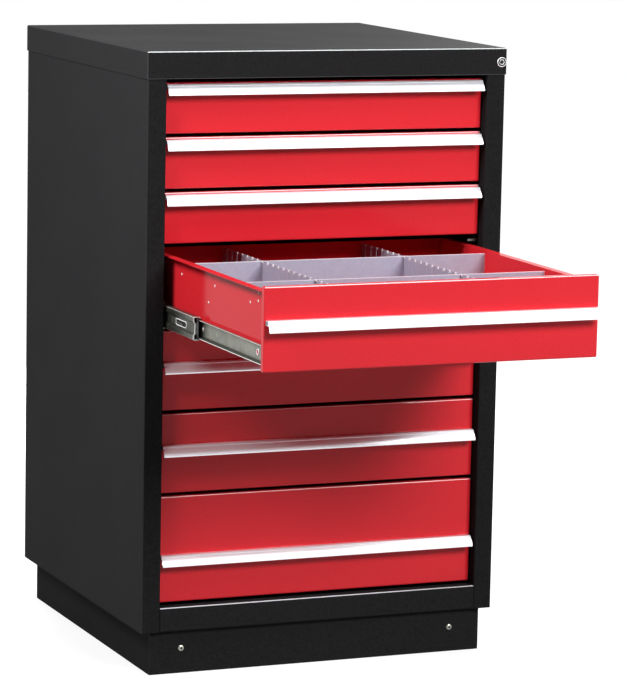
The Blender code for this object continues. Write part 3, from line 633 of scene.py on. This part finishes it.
def dress_nodes():
    """Finishes every CAD node, and returns the finishes that the added pieces share."""
    finishes = {
        "red": red_powder_coat("gloss_red_powder_coat", 0.1),
        "zinc": zinc_plated_steel("zinc_plated_steel", zinc_tones),
        "chrome": bright_chrome("bright_chrome", "#A4A5A8", "#B6B7BA"),
        "plastic": black_plastic(),
        # cut: bright bare metal for small pieces, drawn near white as a painted glint
        "cut": sheared_steel_and_glint(),
    }
    dress_housing()
    dress_drawers()
    dress_slides("left", finishes["zinc"])
    dress_slides("right", finishes["zinc"])
    dress(["cabinet_floor", "plinth_front_panel"], black_powder_coat("satin_black_powder_coat"))
    plinth = black_powder_coat("black_powder_coat_plinth", housing_smooth, panel_gloss)
    dress(["plinth_frame"], plinth)
    dress(["slide_4_cage_left", "slide_4_cage_right"], finishes["plastic"])
    dress(["partition_left", "partition_right"], galvanised_sheet("galvanised_partition_sheet"))
    for name in ("divider_front", "divider_rear"):
        dress([name], galvanised_sheet(f"galvanised_sheet_{name}", divider_highlights(name)))
    dress(["lock_body"], finishes["chrome"])
    dress(["lock_plug"], bright_chrome("dark_nickel_plug", "#46474B", "#525357"))
    dress(["lock_bar"], finishes["zinc"])
    return finishes


def take(*pieces):
    """Makes these objects the only ones that operators act on, the first of them active."""
    bpy.ops.object.select_all(action="DESELECT")
    for piece in pieces:
        piece.select_set(True)
    bpy.context.view_layer.objects.active = pieces[0]


def pick_nothing(piece):
    """Leaves no part of a mesh selected, in object mode."""
    bpy.ops.object.mode_set(mode="OBJECT")
    mesh = piece.data
    for part in (*mesh.vertices, *mesh.edges, *mesh.polygons):
        part.select = False


def pick_faces(piece, test):
    """Selects the faces whose middle and normal pass a test, in edit mode."""
    pick_nothing(piece)
    for face in piece.data.polygons:
        face.select = test(face.center, face.normal)
    bpy.ops.object.mode_set(mode="EDIT")
    bpy.ops.mesh.select_mode(type="FACE")


def pick_edges(piece, test):
    """Selects the edges whose two ends pass a test, in edit mode."""
    pick_nothing(piece)
    points = piece.data.vertices
    for edge in piece.data.edges:
        first, last = (points[number].co for number in edge.vertices)
        edge.select = test(first, last)
    bpy.ops.object.mode_set(mode="EDIT")
    bpy.ops.mesh.select_mode(type="EDGE")


def soften(width, segments=1):
    """Breaks every edge of the mesh that is being edited, and leaves edit mode."""
    bpy.ops.mesh.select_all(action="SELECT")
    bpy.ops.mesh.bevel(offset=width, segments=segments, affect="EDGES")
    bpy.ops.object.mode_set(mode="OBJECT")


def start_block(name, place, size):
    """A block at its size and place, ready to be shaped in edit mode."""
    bpy.ops.object.select_all(action="DESELECT")
    bpy.ops.mesh.primitive_cube_add(size=1, location=place)
    piece = bpy.context.object
    piece.name = name
    piece.scale = size
    bpy.ops.object.transform_apply(location=True, rotation=False, scale=True)
    bpy.ops.object.mode_set(mode="EDIT")
    return piece


def start_disc(name, place, out, radius, depth, sides):
    """A disc at its size and place, ready to be shaped: out is the way that its face looks."""
    bpy.ops.object.select_all(action="DESELECT")
    turn = Vector(out).to_track_quat("Z", "Y").to_euler()
    bpy.ops.mesh.primitive_cylinder_add(
        vertices=sides, radius=radius, depth=depth, location=place, rotation=turn
    )
    piece = bpy.context.object
    piece.name = name
    bpy.ops.object.transform_apply(location=True, rotation=True, scale=True)
    bpy.ops.object.mode_set(mode="EDIT")
    return piece


def repeat(piece, steps):
    """One piece out of copies of a shape, each moved by a step from the first."""
    name = piece.name
    copies = []
    for step in steps:
        copied = piece.copy()
        copied.data = piece.data.copy()
        copied.location = step
        bpy.context.scene.collection.objects.link(copied)
        copies.append(copied)
    bpy.data.objects.remove(piece)
    take(*copies)
    bpy.ops.object.transform_apply(location=True, rotation=False, scale=False)
    bpy.ops.object.join()
    joined = bpy.context.object
    joined.name = name
    return joined


def mirror_over(piece, name):
    """A copy on the other side of the cabinet, with its faces turned outwards again."""
    copied = piece.copy()
    copied.data = piece.data.copy()
    copied.name = name
    bpy.context.scene.collection.objects.link(copied)
    take(copied)
    copied.scale = (-1, 1, 1)
    bpy.ops.object.transform_apply(location=False, rotation=False, scale=True)
    bpy.ops.object.mode_set(mode="EDIT")
    bpy.ops.mesh.select_all(action="SELECT")
    bpy.ops.mesh.normals_make_consistent(inside=False)
    bpy.ops.object.mode_set(mode="OBJECT")
    return copied


def finish_piece(piece, finish, body):
    """The last steps of every piece: smooth shading, its material and the body that carries it."""
    take(piece)
    bpy.ops.object.shade_smooth_by_angle(angle=radians(35))
    piece.data.materials.clear()
    piece.data.materials.append(finish.material)
    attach(piece, body)


def both_sides(piece, finish, body):
    """Finishes a left piece and its copy on the right."""
    other = mirror_over(piece, piece.name.replace("left", "right"))
    finish_piece(piece, finish, body)
    finish_piece(other, finish, body)


def slot_lips(partition):
    """Tabs beside every slot's mouth, leaning out in turn, which lead a divider into its slot."""
    low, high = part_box(partition)
    middle = (low.x + high.x) / 2
    reach = slot_half_width + lip_length / 2 + lip_offset
    height = high.z - lip_height / 2 - lip_drop
    tabs = []
    for turn in (-1, 1):
        place = (middle + turn * lip_offset, low.y + slot_start + turn * reach, height)
        tab = start_block(f"tab_{turn}", place, (lip_sheet, lip_length, lip_height))
        pick_faces(tab, lambda centre, normal: normal.z > squarely)
        bpy.ops.transform.translate(value=(turn * lip_flare, 0, 0))
        bpy.ops.transform.resize(value=lip_taper)
        soften(lip_rounding)
        tabs.append(tab)
    take(*tabs)
    bpy.ops.object.join()
    pair = bpy.context.object
    pair.name = partition.replace("partition", "partition_lips")
    steps = [(0, number * slot_pitch, 0) for number in range(slot_count)]
    finish_piece(repeat(pair, steps), looks["cut"], "drawer_4")


def rivet_head(name, place, out, radius, height):
    """A low dome on a sheet, with its foot sunk in it: out is the way that it faces."""
    head = start_disc(name, place, out, radius, 2 * height, rivet_sides)
    pick_faces(head, lambda centre, normal: normal.dot(Vector(out)) > squarely)
    bpy.ops.mesh.bevel(offset=height * rivet_crown, segments=3, affect="EDGES")
    bpy.ops.object.mode_set(mode="OBJECT")
    return head


def wall_rivets(number):
    """Rivet heads and spot welds on the drawer's side walls, set out from its front and its top."""
    low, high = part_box(f"drawer_{number}_front")
    place = (-wall_x, low.y, high.z - wall_rivet_drop)
    name = f"drawer_{number}_rivets_left"
    head = rivet_head(name, place, (-1, 0, 0), rivet_radius, rivet_height)
    steps = [(0, behind, -under) for behind, under in wall_rivet_spots]
    if high.z - low.z > tall_front:
        behind, under = tall_front_spot
        steps.append((0, behind, -under))
    both_sides(repeat(head, steps), looks["cut"], f"drawer_{number}")


def back_rivets():
    """Rivets that hold the back panel to the side panels' rear flanges and to the floor."""
    low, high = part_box("back_panel")
    column = high.x - back_rivet_inset
    first = low.z + back_rivet_inset
    place = (0, high.y, first)
    head = rivet_head("back_panel_rivets", place, (0, 1, 0), back_rivet_radius, back_rivet_height)
    pitch = (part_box("top_cover")[0].z - first - back_rivet_inset) / back_rivet_rows
    steps = [
        (side * column, 0, row * pitch) for row in range(back_rivet_rows + 1) for side in (-1, 1)
    ]
    steps += [(column * share / 3, 0, 0) for share in floor_rivet_shares]
    finish_piece(repeat(head, steps), looks["zinc"], "cabinet")


def cage_balls():
    """The steel balls that sit in the open drawer's cages, each ground round from a block."""
    low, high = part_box("slide_4_cage_left")
    ball = start_block("slide_4_balls_left", (0, 0, 0), (2 * ball_radius,) * 3)
    bpy.ops.mesh.select_all(action="SELECT")
    bpy.ops.mesh.subdivide(number_cuts=ball_cuts)
    bpy.ops.object.mode_set(mode="OBJECT")
    ground = ball.modifiers.new("ground", "CAST")
    ground.factor = 1
    ground.use_radius_as_size = False
    ground.size = ball_radius
    bpy.ops.object.modifier_apply(modifier="ground")
    ball.location = (-ball_row_x, low.y + cage_lead, (low.z + high.z) / 2 - ball_row_height)
    bpy.ops.object.transform_apply(location=True, rotation=False, scale=False)
    steps = [
        (0, number * cage_ball_pitch, row * 2 * ball_row_height)
        for number in range(cage_ball_count)
        for row in (0, 1)
    ]
    both_sides(repeat(ball, steps), looks["chrome"], "slide_cage_4")


def sheared_end(node, name, body):
    """The bright cut end of a member, raised from its own front end face."""
    piece = nodes[node].copy()
    piece.data = nodes[node].data.copy()
    piece.name = name
    bpy.context.scene.collection.objects.link(piece)
    take(piece)
    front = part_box(node)[0].y + 10 * same_point
    bpy.ops.object.mode_set(mode="EDIT")
    bpy.ops.mesh.select_all(action="SELECT")
    bpy.ops.mesh.remove_doubles(threshold=same_point)
    pick_faces(piece, lambda centre, normal: not (normal.y < -squarely and centre.y < front))
    bpy.ops.mesh.delete(type="FACE")
    bpy.ops.mesh.select_all(action="SELECT")
    bpy.ops.mesh.dissolve_limited(angle_limit=0.01)
    bpy.ops.mesh.select_all(action="SELECT")
    bpy.ops.mesh.extrude_region_move(TRANSFORM_OT_translate={"value": (0, -sheared_edge, 0)})
    bpy.ops.mesh.select_all(action="SELECT")
    bpy.ops.mesh.normals_make_consistent(inside=False)
    bpy.ops.transform.shrink_fatten(value=sheared_burr)
    bpy.ops.object.mode_set(mode="OBJECT")
    finish_piece(piece, looks["cut"], body)


def start_plate(name, place, size, corner, segments):
    """A plate across X with rounded corners, ready to be shaped further in edit mode."""
    plate = start_block(name, place, size)
    pick_edges(plate, lambda first, last: abs(first.x - last.x) > size[0] / 2)
    bpy.ops.mesh.bevel(offset=corner, segments=segments, affect="EDGES")
    return plate


def window_frame(place):
    """The pressed window's rim in the near-white glint finish, round a black plate that is painted
    shade in its pocket.
    """
    size = (rim_sheet, window_length, window_height)
    rim = start_plate("slide_4_window_rim_left", place, size, rim_corner, 4)
    pick_faces(rim, lambda centre, normal: abs(normal.x) > squarely)
    bpy.ops.mesh.inset(thickness=window_rim, depth=0)
    bpy.ops.mesh.bridge_edge_loops()
    bpy.ops.object.mode_set(mode="OBJECT")
    both_sides(rim, looks["cut"], "slide_middle_4")
    # Painted shade: a black plate fills the window's pocket
    middle = place + Vector((pocket_depth, 0, 0))
    size = (pocket_sheet, window_length - window_rim, window_height - window_rim)
    pocket = start_plate("slide_4_window_pocket_left", middle, size, pocket_corner, 3)
    bpy.ops.object.mode_set(mode="OBJECT")
    both_sides(pocket, looks["plastic"], "slide_middle_4")


def window_tongue(place):
    """The tongue that is pressed out of the window, with its lifted tip."""
    middle = place + Vector(tongue_offset)
    tongue = start_block("slide_4_window_tongue_left", middle, tongue_size)
    pick_faces(tongue, lambda centre, normal: normal.y < -squarely)
    bpy.ops.mesh.extrude_region_move(TRANSFORM_OT_translate={"value": tongue_lift})
    soften(tongue_rounding)
    both_sides(tongue, looks["zinc"], "slide_middle_4")


def middle_window():
    """What is pressed in the open drawer's middle members, and the stop plate fixed to them."""
    low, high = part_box("slide_4_middle_left")
    height = (low.z + high.z) / 2
    window_y = low.y + window_behind + window_length / 2
    place = Vector((low.x + window_depth, window_y, height))
    window_frame(place)
    middle = (place.x + plate_depth, low.y + plate_behind, height)
    size = (plate_sheet, plate_length, window_height)
    plate = start_block("slide_4_stop_plate_left", middle, size)
    soften(plate_rounding, 2)
    both_sides(plate, looks["zinc"], "slide_middle_4")
    window_tongue(place)


def turned_ring(name, centre, out, radius, thickness):
    """A ring turned from a disc, with a rounded crown: out is the way that its face looks."""
    facing = Vector(out)
    ring = start_disc(name, centre, out, radius + thickness, 2 * thickness, ring_sides)
    pick_faces(ring, lambda middle, normal: abs(normal.dot(facing)) > squarely)
    bpy.ops.mesh.inset(thickness=2 * thickness, depth=0)
    bpy.ops.mesh.bridge_edge_loops()
    crown = Vector(centre).dot(facing) + thickness / 2
    pick_edges(ring, lambda first, last: min(first.dot(facing), last.dot(facing)) > crown)
    bpy.ops.mesh.bevel(offset=thickness * ring_crown, segments=3, affect="EDGES")
    bpy.ops.object.mode_set(mode="OBJECT")
    return ring


def lock_rings():
    """The bezel's rim and the plug's edge in the near-white glint finish, and a black ring as
    painted shade in the gap round the key plug.
    """
    low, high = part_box("lock_body")
    centre = Vector(((low.x + high.x) / 2, low.y + bezel_set_back, (low.z + high.z) / 2))
    rim = turned_ring("lock_bezel_rim", centre, (0, -1, 0), *bezel_rim)
    finish_piece(rim, looks["cut"], "cabinet")
    # Painted shade: a black ring in the gap round the plug
    gap = turned_ring("lock_gap_ring", centre, (0, -1, 0), *plug_gap)
    finish_piece(gap, looks["plastic"], "cabinet")
    centre.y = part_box("lock_plug")[0].y
    edge = turned_ring("lock_plug_edge", centre, (0, -1, 0), *plug_edge)
    finish_piece(edge, looks["cut"], "lock_plug")


def member_hole(name, behind, radius):
    """A pierced hole in the drawer member: a bright burr round the red wall behind it."""
    low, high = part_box("slide_4_inner_left")
    centre = Vector((web_x, low.y + behind, (low.z + high.z) / 2))
    outwards = (-1, 0, 0)
    thickness = radius * burr_share
    burr = turned_ring(f"slide_4_{name}_burr_left", centre, outwards, radius, thickness)
    both_sides(burr, looks["cut"], "drawer_4")
    wall = rivet_head(f"slide_4_{name}_wall_left", centre, outwards, radius, hole_wall_height)
    both_sides(wall, looks["red"], "drawer_4")


def member_details():
    """The holes of the drawer members, and the flat screw heads that fix them to the walls."""
    member_hole("rear_hole", *rear_hole)
    member_hole("front_hole", *front_hole)
    low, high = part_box("slide_4_inner_left")
    centre = (web_x, low.y + member_screw, (low.z + high.z) / 2)
    name = "slide_4_member_screws_left"
    head = rivet_head(name, centre, (-1, 0, 0), member_screw_radius, member_screw_height)
    both_sides(head, looks["zinc"], "drawer_4")


def screw_recess(side):
    """A black disc in the driver's recess of a plinth screw: painted shade in the recess."""
    low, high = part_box(f"plinth_screw_{side}")
    place = ((low.x + high.x) / 2, low.y + recess_set_back, (low.z + high.z) / 2)
    name = f"plinth_screw_recess_{side}"
    recess = start_disc(name, place, (0, -1, 0), recess_radius, recess_depth, recess_sides)
    soften(recess_rounding)
    finish_piece(recess, looks["plastic"], "cabinet")


def add_details():
    """Makes the small pieces that the CAD nodes don't have."""
    slot_lips("partition_left")
    slot_lips("partition_right")
    for number in drawers:
        wall_rivets(number)
    back_rivets()
    cage_balls()
    for side in ("left", "right"):
        sheared_end(f"slide_4_middle_{side}", f"slide_4_middle_end_{side}", "slide_middle_4")
        sheared_end(f"slide_4_inner_{side}", f"slide_4_inner_end_{side}", "drawer_4")
        screw_recess(side)
    middle_window()
    member_details()
    lock_rings()


bpy.context.scene.view_settings.view_transform = "Standard"
make_camera()
make_floor()
make_lights()
looks = dress_nodes()
add_details()
